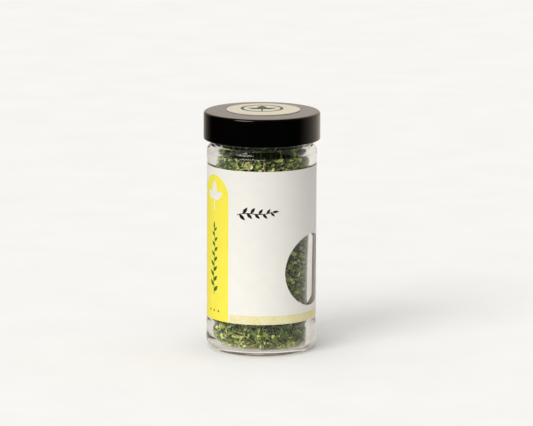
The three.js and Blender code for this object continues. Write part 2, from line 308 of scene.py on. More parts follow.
def paper_material(name, ink, shade, roughness, fibre_mm=0.5, relief=0.1):
    """Coated label paper: an ink, its darker shade in the fibre's clouds, and a fine tooth."""
    material, tree, shader, _ = new_material(name)
    clouds = speckle(tree, 6.0, 5.0, 0.65)
    colour = ramp(tree, clouds, [(0.35, srgb(shade)), (0.65, srgb(ink))])
    tree.links.new(colour, shader.inputs["Base Color"])
    shader.inputs["Roughness"].default_value = roughness
    shader.inputs["IOR"].default_value = 1.45
    tooth = speckle(tree, fibre_mm, 3.0)
    bump = add(tree, "ShaderNodeBump", {"Height": tooth, "Strength": relief, "Distance": 0.06 * MM})
    tree.links.new(bump.outputs["Normal"], shader.inputs["Normal"])
    return material


def mottled_ink():
    """Yellow ink printed as a fine broken texture on white paper, about 0.7 mm a mark."""
    material, tree, shader, _ = new_material("yellow_broken_print_on_paper")
    marks = speckle(tree, 0.55, 2.0, 0.6)
    clouds = speckle(tree, 5.0, 2.0)
    uneven = add(tree, "ShaderNodeMath", {0: clouds, 1: 0.35, 2: -0.17}, operation="MULTIPLY_ADD")
    both = add(tree, "ShaderNodeMath", {0: marks, 1: uneven.outputs["Value"]}, operation="ADD")
    stops = [(0.36, srgb("#e3d88f")), (0.52, srgb("#eae2b2")), (0.7, srgb("#eeead2"))]
    tree.links.new(ramp(tree, both.outputs["Value"], stops), shader.inputs["Base Color"])
    shader.inputs["Roughness"].default_value = 0.55
    bump = add(tree, "ShaderNodeBump", {"Height": marks, "Strength": 0.08, "Distance": 0.05 * MM})
    tree.links.new(bump.outputs["Normal"], shader.inputs["Normal"])
    return material


def foam():
    """Expanded polyethylene foam, die-cut: white, matt, with fine closed cells."""
    material, tree, shader, _ = new_material("white_polyethylene_foam")
    cells = speckle(tree, 0.5, 2.0)
    colour = ramp(tree, cells, [(0.3, srgb("#dedcd5")), (0.7, srgb("#f4f3ee"))])
    tree.links.new(colour, shader.inputs["Base Color"])
    shader.inputs["Roughness"].default_value = 0.85
    bump = add(tree, "ShaderNodeBump", {"Height": cells, "Strength": 0.4, "Distance": 0.15 * MM})
    tree.links.new(bump.outputs["Normal"], shader.inputs["Normal"])
    return material


def dried_leaf(name, shade):
    """Dried parsley leaf, chopped and crumpled: greens from deep to yellow, each flake its own, veined, with
    painted light on the left and painted shade on the right and in the neck.
    """
    material, tree, shader, _ = new_material(name)
    tint = add(tree, "ShaderNodeAttribute", attribute_name="tint").outputs["Fac"]
    mottle = speckle(tree, 0.8, 4.0, 0.65)
    shift = add(tree, "ShaderNodeMath", {0: mottle, 1: 1.1, 2: -0.53}, operation="MULTIPLY_ADD")
    place = add(tree, "ShaderNodeTexCoord").outputs["Object"]
    axes = add(tree, "ShaderNodeSeparateXYZ", {"Vector": place}).outputs
    # Painted light and shade: flakes are lighter on the left and darker on the right, as the light falls from
    # the left
    across = add(tree, "ShaderNodeMapRange", {
        "Value": axes["X"], "From Min": -INNER_RADIUS * MM, "From Max": INNER_RADIUS * MM,
        "To Min": LEFT_PAINTED_LIGHT, "To Max": RIGHT_PAINTED_SHADE,
    })
    # Painted shade: flakes in the neck are darker, as the cap shades them
    neck = add(tree, "ShaderNodeMapRange", {
        "Value": axes["Z"], "From Min": NECK_SHADE_Z[0] * MM, "From Max": NECK_SHADE_Z[1] * MM,
        "To Min": 0.0, "To Max": NECK_PAINTED_SHADE,
    })
    # Only the last sum is held between 0 and 1
    for change, held in (
        (shift.outputs["Value"], False),
        (across.outputs["Result"], False),
        (neck.outputs["Result"], True),
    ):
        total = add(tree, "ShaderNodeMath", {0: tint, 1: change}, operation="ADD", use_clamp=held)
        tint = total.outputs["Value"]
    stops = [
        (0.0, srgb("#243216")),
        (0.22, srgb("#435a22")),
        (0.48, srgb("#748a37")),
        (0.72, srgb("#95a755")),
        (0.9, srgb("#b2ba73")),
        (1.0, srgb("#c6c08e")),
    ]
    stops = [(place, (*(c * shade for c in colour[:3]), 1.0)) for place, colour in stops]
    tree.links.new(ramp(tree, tint, stops), shader.inputs["Base Color"])
    shader.inputs["Roughness"].default_value = 0.62
    veins = speckle(tree, 0.6, 4.0, 0.7)
    bump = add(tree, "ShaderNodeBump", {"Height": veins, "Strength": 0.9, "Distance": 0.45 * MM})
    tree.links.new(bump.outputs["Normal"], shader.inputs["Normal"])
    return material


def dried_stem():
    """Dried parsley stalk, chopped: straw and pale olive, ribbed along its length."""
    material, tree, shader, _ = new_material("dried_parsley_stalk")
    tint = add(tree, "ShaderNodeAttribute", attribute_name="tint").outputs["Fac"]
    stops = [(0.0, srgb("#7f8a4a")), (0.5, srgb("#b3ab72")), (0.85, srgb("#cbbd8c")), (1.0, srgb("#b5703a"))]
    tree.links.new(ramp(tree, tint, stops), shader.inputs["Base Color"])
    shader.inputs["Roughness"].default_value = 0.55
    ribs = speckle(tree, 0.3, 3.0)
    bump = add(tree, "ShaderNodeBump", {"Height": ribs, "Strength": 0.4, "Distance": 0.1 * MM})
    tree.links.new(bump.outputs["Normal"], shader.inputs["Normal"])
    return material


def core_in_painted_shade():
    """Leaf crumbs packed deep in the jar, very dark green: painted shade, for the light that does not reach
    them.
    """
    material, tree, shader, _ = new_material("packed_leaf_crumbs_painted_shade")
    crumbs = speckle(tree, 1.2, 4.0, 0.7)
    colour = ramp(tree, crumbs, [(0.35, srgb("#0a0d07")), (0.65, srgb("#192010"))])
    tree.links.new(colour, shader.inputs["Base Color"])
    shader.inputs["Roughness"].default_value = 0.9
    bump = add(tree, "ShaderNodeBump", {"Height": crumbs, "Strength": 0.8, "Distance": 0.8 * MM})
    tree.links.new(bump.outputs["Normal"], shader.inputs["Normal"])
    return material


# Mesh making

def finish_mesh(name, points, faces, materials, smooth_angle=SMOOTH_ANGLE, numbers=None):
    """An object of points in millimetres, with its faces turned to point out."""
    mesh = bpy.data.meshes.new(name)
    mesh.from_pydata([tuple(p) for p in np.asarray(points, float) * MM], [], faces)
    for material in materials:
        mesh.materials.append(material)
    if numbers is not None:
        mesh.polygons.foreach_set("material_index", np.asarray(numbers, np.int32))
    if signed_volume(mesh) < 0:
        mesh.flip_normals()
    mesh.shade_smooth()
    mesh.set_sharp_from_angle(angle=math.radians(smooth_angle))
    piece = bpy.data.objects.new(name, mesh)
    bpy.context.scene.collection.objects.link(piece)
    return piece


def signed_volume(mesh):
    """The space that a closed mesh holds, below zero where its faces point inwards."""
    mesh.calc_loop_triangles()
    points = np.zeros(len(mesh.vertices) * 3, np.float32)
    mesh.vertices.foreach_get("co", points)
    corners = np.zeros(len(mesh.loop_triangles) * 3, np.int32)
    mesh.loop_triangles.foreach_get("vertices", corners)
    a, b, c = points.reshape(-1, 3).astype(float)[corners.reshape(-1, 3)].transpose(1, 0, 2)
    return float(np.einsum("ij,ij->i", a, np.cross(b, c)).sum() / 6)


def filleted(corners):
    """An outline of (radius, height, fillet) corners, with each fillet drawn as an arc."""
    points = []
    for i, (x, z, fillet) in enumerate(corners):
        here = Vector((x, z))
        if not fillet:
            points.append(here)
            continue
        back = (Vector(corners[i - 1][:2]) - here).normalized()
        ahead = (Vector(corners[i + 1][:2]) - here).normalized()
        half = back.angle(ahead) / 2
        centre = here + (back + ahead).normalized() * fillet / math.sin(half)
        reach = fillet / math.tan(half)
        arm = here + back * reach - centre
        end = here + ahead * reach - centre
        sweep = math.copysign(math.pi - 2 * half, arm.x * end.y - arm.y * end.x)
        steps = max(2, math.ceil(abs(sweep) / FILLET_STEP))
        for k in range(steps + 1):
            cos, sin = math.cos(sweep * k / steps), math.sin(sweep * k / steps)
            points.append(centre + Vector((arm.x * cos - arm.y * sin, arm.x * sin + arm.y * cos)))
    return points


def divided(points, step):
    """The same outline with no stretch longer than step, which may be a function of its two ends."""
    made = []
    for a, b in zip(points, points[1:]):
        longest = step(a, b) if callable(step) else step
        count = max(1, math.ceil((b - a).length / longest))
        made += [a.lerp(b, k / count) for k in range(count)]
    return made + [points[-1]]


def turned(name, outline, materials, shape=None, sides=ROUND):
    """An outline from axis to axis, turned round. shape may move each point's radius and height."""
    between = outline[1:-1]
    angles = np.arange(sides) * FULL_TURN / sides
    radius, around = np.meshgrid([p.x for p in between], angles, indexing="ij")
    height, _ = np.meshgrid([p.y for p in between], angles, indexing="ij")
    if shape:
        radius, height = shape(radius, height, around)
    points = np.stack([radius * np.sin(around), -radius * np.cos(around), height], -1)
    poles = [(0, 0, outline[0].y), (0, 0, outline[-1].y)]
    points = np.vstack([points.reshape(-1, 3), poles])
    first, last, top = len(points) - 2, len(points) - 1, len(between) - 1

    def at(ring, k):
        return ring * sides + k % sides

    faces = []
    for k in range(sides):
        faces.append((first, at(0, k + 1), at(0, k)))
        faces.append((last, at(top, k), at(top, k + 1)))
        faces += [(at(i, k), at(i, k + 1), at(i + 1, k + 1), at(i + 1, k)) for i in range(top)]
    return finish_mesh(name, points, faces, materials)


def smoothstep(x):
    """An even rise from 0 to 1 as x does."""
    x = np.clip(x, 0, 1)
    return x * x * (3 - 2 * x)


# Jar

def thread_ridge(around, height, start, turn, foot_z):
    """How far the thread stands out, from 0 to 1, at an angle and a height on its wall."""
    ridge = np.zeros_like(height)
    flank = (THREAD_ROOT_WIDTH - THREAD_CREST_WIDTH) / 2
    for lap in range(3):
        along = (around - math.pi / 2 - start) % FULL_TURN + lap * FULL_TURN
        away = np.abs(height - foot_z - PITCH * along / FULL_TURN)
        end = smoothstep(np.minimum(along, turn - along) / THREAD_TAPER)
        ridge = np.maximum(ridge, smoothstep((THREAD_ROOT_WIDTH / 2 - away) / flank) * end)
    return ridge


def waviness(around, height):
    """The slow unevenness of blown glass, from -1 to 1."""
    return (
        0.45 * np.sin(2 * around + height / 23 + 0.6)
        + 0.3 * np.sin(3 * around - height / 11 + 2.1)
        + 0.25 * np.sin(5 * around + height / 7.3 + 4.0)
    )


def inner_wall(around, height):
    """How far the inside of the glass stands out from a true cylinder at an angle and a height."""
    out = np.interp(height, *WIDENING) + np.interp(height, *LEAN) * np.sin(around)
    out += GLASS_WAVE * waviness(around, height) * smoothstep((WAVE_END_Z - height) / WAVE_FADE)
    turn = (around - THICK_ANGLE + math.pi) % FULL_TURN - math.pi
    beside = smoothstep(1 - np.abs(turn) / THICK_TURN)
    level = smoothstep(1 - np.abs(height - THICK_Z) / THICK_RISE)
    out -= THICKENING * beside * level
    out *= smoothstep((height - FLOOR_Z) / FLOOR_FADE)
    return out * smoothstep((UNEVEN_END_Z - height) / UNEVEN_FADE)


def make_jar():
    """The glass in one piece: underside, body with its label panel, neck with its thread, and inside."""
    low, high = PANEL_Z
    corners = [
        (0, PUSH_UP, 0),
        (BEARING_INNER_RADIUS - 1.2, PUSH_UP, 0.9),
        (BEARING_INNER_RADIUS + 0.6, 0, 0.7),
        (BODY_RADIUS, 0, HEEL_RADIUS),
        (BODY_RADIUS, low - PANEL_STEP, PANEL_ROUNDING),
        (PANEL_RADIUS, low, PANEL_ROUNDING),
        (PANEL_RADIUS, high, PANEL_ROUNDING),
        (BODY_RADIUS, high + PANEL_STEP, PANEL_ROUNDING),
        (BODY_RADIUS, SHOULDER_TOP_Z - SHOULDER_EDGE_DROP, SHOULDER_EDGE_ROUNDING),
        (NECK_RADIUS + 1.5, SHOULDER_TOP_Z, 0.9),
        (NECK_RADIUS, SHOULDER_TOP_Z + 0.3, 0.3),
        (NECK_RADIUS, RIM_Z, RIM_ROUNDING),
        (BORE_RADIUS, RIM_Z, RIM_ROUNDING),
        (BORE_RADIUS, BORE_FOOT_Z, 1.3),
        (INNER_RADIUS, INNER_SHOULDER_Z, 1.5),
        (INNER_RADIUS, FLOOR_Z, INNER_CORNER_RADIUS),
        (0, FLOOR_Z + FLOOR_CROWN, 0),
    ]

    def step(a, b):
        on_neck = min(a.y, b.y) > SHOULDER_TOP_Z + 0.2 and min(a.x, b.x) > NECK_RADIUS - 0.1
        return THREAD_STEP if on_neck else GLASS_STEP

    def shape(radius, height, around):
        neck = (radius > NECK_RADIUS - 0.01) & (height > SHOULDER_TOP_Z + 1)
        ridge = thread_ridge(around, height, THREAD_START, NECK_THREAD_TURN, NECK_THREAD_Z)
        radius = np.where(neck, radius + ridge * (NECK_THREAD_RADIUS - NECK_RADIUS), radius)
        inside = (height > FLOOR_Z - 0.01) & (radius < INNER_RADIUS + 0.01)
        floor = inside * smoothstep((FLOOR_WAVE_RADIUS - radius) / RADIUS_FADE)
        lift = 2 * GLASS_WAVE * waviness(around, height) * floor * smoothstep(radius / RADIUS_FADE)
        wall = inside * inner_wall(around, height) * smoothstep((radius - WALL_WAVE_RADIUS) / RADIUS_FADE)
        return radius + wall, height + lift

    outline = divided(filleted(corners), step)
    return turned("jar_glass", outline, [clear_glass()], shape)


# Cap and liner

def make_cap():
    """The cap's shell, with the thread that runs on the neck's."""
    roof_z = CAP_HIGH.z - CAP_ROOF_THICKNESS
    corners = [
        (0, CAP_HIGH.z, 0),
        (CAP_RADIUS, CAP_HIGH.z, CAP_EDGE_FILLET),
        (CAP_RADIUS, CAP_LOW.z, 0.45),
        (CAP_INNER_RADIUS, CAP_LOW.z, 0.25),
        (CAP_INNER_RADIUS, roof_z, 0.6),
        (0, roof_z, 0),
    ]
    foot = NECK_THREAD_Z + PITCH * CAP_LEAD_IN / FULL_TURN - FLANK_OFFSET

    def shape(radius, height, around):
        wall = (np.abs(radius - CAP_INNER_RADIUS) < 0.02) & (height < roof_z - 1)
        ridge = thread_ridge(around, height, THREAD_START + CAP_LEAD_IN, NECK_THREAD_TURN - CAP_LEAD_IN, foot)
        return np.where(wall, radius - ridge * (CAP_INNER_RADIUS - CAP_THREAD_RADIUS), radius), height

    def step(a, b):
        return THREAD_STEP if a.x < CAP_RADIUS - 1 and a.x == b.x else OUTLINE_STEP

    outline = divided(filleted(corners), step)
    return turned("cap_shell", outline, [black_plastic()], shape)


def make_liner():
    """The foam disc in the cap, which seals on the rim."""
    radius, low, high = LINER_HIGH.x, LINER_LOW.z, LINER_HIGH.z
    corners = [(0, high, 0), (radius, high, 0.3), (radius, low, 0.3), (0, low, 0)]
    return turned("foam_liner", divided(filleted(corners), OUTLINE_STEP), [foam()], sides=ROUND // 2)


# Printed paper

def circle(centre, radius, sides=72):
    turns = (FULL_TURN * k / sides for k in range(sides))
    return [(centre[0] + radius * math.cos(t), centre[1] + radius * math.sin(t)) for t in turns]


def leaf_outline(base, angle, length, width, steps=7):
    """A pointed leaf that grows from base at an angle."""
    shares = [k / steps for k in range(steps + 1)]
    one_side = [(t * length, width / 2 * math.sin(math.pi * t ** 0.85)) for t in shares]
    both = [(x, -y) for x, y in one_side] + [(x, y) for x, y in reversed(one_side[1:-1])]
    cos, sin = math.cos(angle), math.sin(angle)
    return [(base[0] + x * cos - y * sin, base[1] + x * sin + y * cos) for x, y in both]


def stroke(points, width):
    """A line of even width along points."""
    sides = ([], [])
    for i, here in enumerate(points):
        back, ahead = Vector(points[max(i - 1, 0)]), Vector(points[min(i + 1, len(points) - 1)])
        normal = (ahead - back).orthogonal().normalized() * width / 2
        for side, offset in zip(sides, (-normal, normal)):
            side.append(tuple(Vector(here) + offset))
    return sides[0] + sides[1][::-1]


def sprig(start, end, sway, leaves, leaf_length, leaf_width, stem_width):
    """A stem from start to end with leaves by turns on its two sides, and one at its tip."""
    start, end = Vector(start), Vector(end)
    along = end - start
    across = along.orthogonal().normalized()
    heading = math.atan2(along.y, along.x)

    def at(share):
        return start + along * share + across * sway * math.sin(FULL_TURN * share)

    shapes = [stroke([tuple(at(k / 16)) for k in range(17)], stem_width)]
    for k in range(leaves):
        share = (k + 0.6) / leaves
        side = 1 if k % 2 else -1
        size = 1 - 0.35 * share
        angle = heading + side * math.radians(48)
        shapes.append(leaf_outline(tuple(at(share)), angle, leaf_length * size, leaf_width * size))
    shapes.append(leaf_outline(tuple(end), heading, leaf_length * 0.8, leaf_width * 0.7))
    return shapes


def three_leaves(centre, size):
    """A stalk with a middle leaf and a leaf to either side."""
    x, y = centre
    foot = (x, y - size * 0.12)
    shapes = [stroke([(x, y - size * 0.5), foot], size * 0.05)]
    for angle, length, width in ((90, 0.62, 0.3), (152, 0.5, 0.25), (28, 0.5, 0.25)):
        shapes.append(leaf_outline(foot, math.radians(angle), size * length, size * width))
    return shapes


def anticlockwise(loop):
    """The loop, turned about where it runs clockwise."""
    area = sum(a[0] * b[1] - b[0] * a[1] for a, b in zip(loop, loop[1:] + loop[:1]))
    return loop if area > 0 else loop[::-1]


def printed(outline, inks, grid):
    """Flat triangles of a sheet, each with its ink. Inks are (number, loop), later ones on top, -1 a hole."""
    loops = [anticlockwise(outline)] + [anticlockwise(loop) for _, loop in inks]
    number = [0] + [ink for ink, _ in inks]
    points, rings = [], []
    for loop in loops:
        rings.append(list(range(len(points), len(points) + len(loop))))
        points += [Vector(p) for p in loop]
    points += [Vector(p) for p in grid]
    flat, _, triangles, _, _, origins = delaunay_2d_cdt(points, [], rings, 1, 1e-4)
    kept = [(t, number[max(o)]) for t, o in zip(triangles, origins) if number[max(o)] >= 0]
    return np.array(flat), [t for t, _ in kept], [ink for _, ink in kept]


def paper_piece(name, sheet, top, under, materials):
    """A printed sheet with thickness: face, back and cut edges. top and under place its two sides."""
    flat, triangles, inks = sheet
    count = len(flat)
    points = np.vstack([top(flat), under(flat), top(flat), under(flat)])
    faces = list(triangles) + [tuple(v + count for v in reversed(t)) for t in triangles]
    numbers = list(inks) + [0] * len(triangles)
    edges = {(a, b) for t in triangles for a, b in zip(t, (*t[1:], t[0]))}
    rim = [(a, b) for a, b in edges if (b, a) not in edges]
    for a, b in sorted(rim):
        faces.append((b + 2 * count, a + 2 * count, a + 3 * count, b + 3 * count))
        numbers.append(0)
    used = sorted({v for face in faces for v in face})
    renumber = {old: new for new, old in enumerate(used)}
    faces = [tuple(renumber[v] for v in face) for face in faces]
    return finish_mesh(name, points[used], faces, materials, PAPER_SMOOTH_ANGLE, numbers)


def make_label():
    """The label, printed flat and wrapped round the glass, with its seam at the back."""
    reach = math.pi * LABEL_RADIUS - SEAM_GAP / 2
    low, high = LABEL_LOW.z, LABEL_HIGH.z
    outline = [(-reach, low), (reach, low), (reach, high), (-reach, high)]
    arch = [
        (BAND_CENTRE - BAND_HALF_WIDTH, low),
        (BAND_CENTRE + BAND_HALF_WIDTH, low),
        *[(BAND_CENTRE + BAND_HALF_WIDTH * math.cos(t), ARCH_Z + BAND_HALF_WIDTH * math.sin(t))
          for t in (math.pi * k / 32 for k in range(33))],
    ]
    foot_low, foot_high = FOOT_BAND_Z
    foot_gap = BAND_HALF_WIDTH + FOOT_BAND_GAP

    def foot(left, right):
        return [(left, foot_low), (right, foot_low), (right, foot_high), (left, foot_high)]

    inks = [(FOOT_INK, foot(BAND_CENTRE + foot_gap, reach)), (FOOT_INK, foot(-reach, BAND_CENTRE - foot_gap))]
    inks += [(BAND_INK, arch)]
    inks += [(0, shape) for shape in three_leaves((BAND_CENTRE, ARCH_Z + 0.4), BAND_LEAF_SIZE)]
    vine = sprig(
        (BAND_CENTRE, VINE_Z[0]), (BAND_CENTRE, VINE_Z[1]), sway=0.5, leaves=13,
        leaf_length=4.2, leaf_width=1.9, stem_width=0.45,
    )
    inks += [(GREEN_INK, shape) for shape in vine]
    inks += [(GREEN_INK, circle((BAND_CENTRE + x, DOTS_Z), 0.55, 12)) for x in (-DOT_GAP, 0, DOT_GAP)]
    spray = sprig(*SPRAY_ENDS, sway=0.5, leaves=9, leaf_length=4.0, leaf_width=1.7, stem_width=0.4)
    inks += [(DARK_INK, shape) for shape in spray]
    window = circle((WINDOW_ANGLE * LABEL_RADIUS, WINDOW_Z), WINDOW_RADIUS, 120)
    inks += [(-1, [(min(x, WINDOW_FAR_EDGE), z) for x, z in window])]
    column, row = LABEL_GRID
    levels = [low, foot_low, foot_high, *np.arange(low + 6, high - 3, row), high]
    grid = [(x, z) for x in np.arange(-reach + column, reach - 1, column) for z in levels]

    def wrapped(radius):
        def place(flat):
            angle = flat[:, 0] / LABEL_RADIUS
            return np.column_stack([radius * np.sin(angle), -radius * np.cos(angle), flat[:, 1]])
        return place

    materials = [
        paper_material("white_coated_paper", "#efeeea", "#ecebe7", 0.5),
        paper_material("yellow_ink_on_paper", "#f8ec52", "#f5e84a", 0.5),
        paper_material("green_ink_on_paper", "#3f7a33", "#376f2d", 0.5),
        paper_material("black_ink_on_paper", "#1d1c1a", "#171614", 0.45),
        mottled_ink(),
    ]
    sheet = printed(outline, inks, grid)
    sides = wrapped(LABEL_RADIUS), wrapped(LABEL_RADIUS - PAPER)
    return paper_piece("paper_label", sheet, *sides, materials)


def make_sticker():
    """The round sticker on the cap, with a ring and three leaves printed on it."""
    centre = (STICKER_LOW + STICKER_HIGH) / 2
    radius = (STICKER_HIGH.x - STICKER_LOW.x) / 2
    inks = [(1, circle(PRINT_OFFSET, PRINT_RING[0])), (0, circle(PRINT_OFFSET, PRINT_RING[1]))]
    inks += [(1, shape) for shape in three_leaves((PRINT_OFFSET[0], PRINT_OFFSET[1] - 0.3), PRINT_LEAF_SIZE)]
    grid = [(x, y) for x in range(-16, 17, 4) for y in range(-16, 17, 4) if math.hypot(x, y) < radius - 1]

    def level(z):
        return lambda flat: np.column_stack([flat + (centre.x, centre.y), np.full(len(flat), z)])

    materials = [
        paper_material("cream_uncoated_paper", "#d3ccbc", "#cec7b6", 0.6, relief=0.2),
        paper_material("dark_green_ink_on_paper", "#3c5a45", "#34513d", 0.55),
    ]
    sheet = printed(circle((0, 0), radius, 120), inks, grid)
    return paper_piece("paper_sticker", sheet, level(STICKER_HIGH.z), level(STICKER_LOW.z), materials)


# Parsley

def wall_radius(around, z):
    """How far from the axis the glass lets the parsley be, at an angle and a height."""
    side, bore = INNER_RADIUS - GLASS_CLEARANCE, BORE_RADIUS - GLASS_CLEARANCE
    wall = np.interp(z, [INNER_SHOULDER_Z - 1.6, BORE_FOOT_Z - 0.6], [side, bore]) + inner_wall(around, z)
    corner = INNER_CORNER_RADIUS - GLASS_CLEARANCE
    drop = np.clip(FLOOR_Z + INNER_CORNER_RADIUS - z, 0, corner)
    return wall - corner + np.sqrt(corner ** 2 - drop ** 2)


def pressed(points):
    """Points in millimetres, pressed in to where the glass lets them be, so that flakes lie flat on it."""
    radius = np.hypot(points[:, 0], points[:, 1])
    crown = FLOOR_CROWN * np.clip(1 - radius / INNER_RADIUS, 0, 1)
    floor = FLOOR_Z + crown + GLASS_CLEARANCE
    z = floor + PRESS_SOFTNESS * np.logaddexp(0, (points[:, 2] - floor) / PRESS_SOFTNESS)
    wall = wall_radius(np.arctan2(points[:, 0], -points[:, 1]), z)
    reach = wall - PRESS_SOFTNESS * np.logaddexp(0, (wall - radius) / PRESS_SOFTNESS)
    share = np.where(radius > wall - 2, reach / np.maximum(radius, 1e-6), 1.0)
    return np.column_stack([points[:, 0] * share, points[:, 1] * share, z])


def fill_skin(depth):
    """The surface that flakes are strewn on, just inside the glass. Its cover attribute thins them out."""
    side = INNER_RADIUS - depth
    corners = [
        (0, FLOOR_Z + depth, 0),
        (side, FLOOR_Z + depth, INNER_CORNER_RADIUS - depth),
        (side, INNER_SHOULDER_Z - depth, 0.5),
        (BORE_RADIUS - depth, BORE_FOOT_Z - depth, 0.5),
        (BORE_RADIUS - depth, FILL_TOP_Z, 0.5),
        (0, FILL_TOP_Z + 0.6, 0),
    ]
    skin = turned("fill_skin", divided(filleted(corners), OUTLINE_STEP), [], sides=96)
    points = np.array([v.co for v in skin.data.vertices]) / MM
    around = np.arctan2(points[:, 0], -points[:, 1])
    swollen = 1 + inner_wall(around, points[:, 2]) / INNER_RADIUS
    points[:, :2] *= swollen[:, None]
    skin.data.vertices.foreach_set("co", (points * MM).astype(np.float32).ravel())
    turn = (around - WINDOW_ANGLE + math.pi) % FULL_TURN - math.pi
    from_window = np.hypot(turn * LABEL_RADIUS, points[:, 2] - WINDOW_Z)
    shown = (from_window < WINDOW_RADIUS + WINDOW_MARGIN) | (np.abs(around) > SEAM_ANGLE)
    shown |= (points[:, 2] < LABEL_LOW.z + LABEL_MARGIN) | (points[:, 2] > LABEL_HIGH.z - LABEL_MARGIN)
    cover = skin.data.attributes.new("cover", "FLOAT", "POINT")
    cover.data.foreach_set("value", np.where(shown, 1.0, HIDDEN_COVER).astype(np.float32))
    return skin


def crumpled_leaf(random, name, corners, inner):
    """One flake, about a millimetre across: a ragged scrap, folded along a few lines and curled."""
    turns = (np.arange(corners) + random.uniform(-0.3, 0.3, corners)) * FULL_TURN / corners
    reach = 0.5 * random.uniform(0.5, 1.0, corners)
    slim = random.uniform(0.5, 1.0)
    rim = np.column_stack([reach * np.cos(turns), slim * reach * np.sin(turns)])
    inside = random.uniform(-0.18, 0.18, (inner, 2)) * (1, slim)
    points = [Vector(p) for p in (*rim, *inside)]
    flat, _, faces, *_ = delaunay_2d_cdt(points, [], [list(range(corners))], 1, 1e-4)
    flat = np.array(flat)
    height = random.uniform(-0.06, 0.06, len(flat)) + random.uniform(-1.6, 1.6) * flat[:, 0] ** 2
    for _ in range(3):
        turn = random.uniform(0, math.pi)
        away = flat @ (math.cos(turn), math.sin(turn)) - random.uniform(-0.15, 0.15)
        height += random.choice((-1, 1)) * random.uniform(0.25, 0.7) * np.abs(away)
    return variant(name, np.column_stack([flat, height - height.mean()]), faces)


def stalk_bit(random, name):
    """One bit of stalk, a millimetre long and thinner at one end, with a slight bend."""
    rings, sides = 5, 5
    bend = random.uniform(-0.12, 0.12)
    radius = random.uniform(0.05, 0.08)
    points, faces = [], []
    for i in range(rings):
        share = i / (rings - 1)
        wide = radius * (1 - 0.35 * share)
        middle = bend * math.sin(math.pi * share)
        for k in range(sides):
            turn = FULL_TURN * k / sides
            points.append((share - 0.5, middle + wide * math.cos(turn), wide * math.sin(turn)))
    for i in range(rings - 1):
        for k in range(sides):
            a, b = i * sides + k, i * sides + (k + 1) % sides
            faces.append((a, b, b + sides, a + sides))
    faces += [tuple(range(sides))[::-1], tuple(range((rings - 1) * sides, rings * sides))]
    return variant(name, points, faces)


def variant(name, points, faces):
    """An unlinked object to be strewn, with its points in millimetres."""
    mesh = bpy.data.meshes.new(name)
    mesh.from_pydata([tuple(p) for p in np.asarray(points, float) * MM], [], faces)
    return bpy.data.objects.new(name, mesh)


def strewing_tree():
    """Strews variants over a surface, each turned, leant, sunk and scaled at random, with its own tint."""
    tree = bpy.data.node_groups.new("strew_over_skin", "GeometryNodeTree")
    sockets = [
        ("Skin", "Geometry"), ("Variants", "Collection"), ("Density", "Float"), ("Seed", "Int"),
        ("Smallest", "Float"), ("Largest", "Float"), ("Depth", "Float"), ("Lean", "Float"),
        ("Material", "Material"),
    ]
    for name, kind in sockets:
        tree.interface.new_socket(name, in_out="INPUT", socket_type="NodeSocket" + kind)
    tree.interface.new_socket("Strewn", in_out="OUTPUT", socket_type="NodeSocketGeometry")
    given = add(tree, "NodeGroupInput").outputs
    cover = add(tree, "GeometryNodeInputNamedAttribute", {"Name": "cover"}, data_type="FLOAT")
    factors = {0: given["Density"], 1: cover.outputs["Attribute"]}
    density = add(tree, "ShaderNodeMath", factors, operation="MULTIPLY")
    points = add(tree, "GeometryNodeDistributePointsOnFaces", {
        "Mesh": given["Skin"], "Density": density.outputs["Value"], "Seed": given["Seed"],
    })

    def chance(offset, low=0.0, high=1.0):
        seed = add(tree, "ShaderNodeMath", {0: given["Seed"], 1: float(offset)}, operation="ADD")
        node = add(tree, "FunctionNodeRandomValue", data_type="FLOAT")
        tree.links.new(seed.outputs["Value"], node.inputs["Seed"])
        floats = [socket for socket in node.inputs if socket.type == "VALUE" and socket.enabled]
        floats[0].default_value, floats[1].default_value = low, high
        return next(socket for socket in node.outputs if socket.type == "VALUE")

    small = add(tree, "ShaderNodeMath", {0: chance(11), 1: 1.5}, operation="POWER").outputs["Value"]
    size = add(tree, "ShaderNodeMapRange", {
        "Value": small, "To Min": given["Smallest"], "To Max": given["Largest"],
    }).outputs["Result"]
    leans = [
        add(tree, "ShaderNodeMath", {0: chance(offset, -1.0), 1: given["Lean"]}, operation="MULTIPLY")
        for offset in (23, 37)
    ]
    euler = add(tree, "ShaderNodeCombineXYZ", {
        "X": leans[0].outputs["Value"], "Y": leans[1].outputs["Value"], "Z": chance(41, -math.pi, math.pi),
    })
    lean = add(tree, "FunctionNodeEulerToRotation", {0: euler.outputs["Vector"]})
    rotation = add(tree, "FunctionNodeRotateRotation", {
        "Rotation": points.outputs["Rotation"], "Rotate By": lean.outputs["Rotation"],
    }, rotation_space="LOCAL")
    sunk = add(tree, "ShaderNodeMath", {0: chance(53, -1.0, 0.0), 1: given["Depth"]}, operation="MULTIPLY")
    inward = add(tree, "ShaderNodeVectorMath", {
        0: points.outputs["Normal"], "Scale": sunk.outputs["Value"],
    }, operation="SCALE")
    placed = add(tree, "GeometryNodeSetPosition", {
        "Geometry": points.outputs["Points"], "Offset": inward.outputs["Vector"],
    })
    variants = add(tree, "GeometryNodeCollectionInfo", {
        "Collection": given["Variants"], "Separate Children": True, "Reset Children": True,
    })
    copies = add(tree, "GeometryNodeInstanceOnPoints", {
        "Points": placed.outputs["Geometry"], "Instance": variants.outputs[0], "Pick Instance": True,
        "Rotation": rotation.outputs["Rotation"], "Scale": size,
    })
    tinted = add(tree, "GeometryNodeStoreNamedAttribute", {
        "Geometry": copies.outputs["Instances"], "Name": "tint", "Value": chance(67),
    }, data_type="FLOAT", domain="INSTANCE")
    real = add(tree, "GeometryNodeRealizeInstances", {"Geometry": tinted.outputs["Geometry"]})
    finished = add(tree, "GeometryNodeSetMaterial", {
        "Geometry": real.outputs["Geometry"], "Material": given["Material"],
    })
    add(tree, "NodeGroupOutput", {"Strewn": finished.outputs["Geometry"]})
    return tree


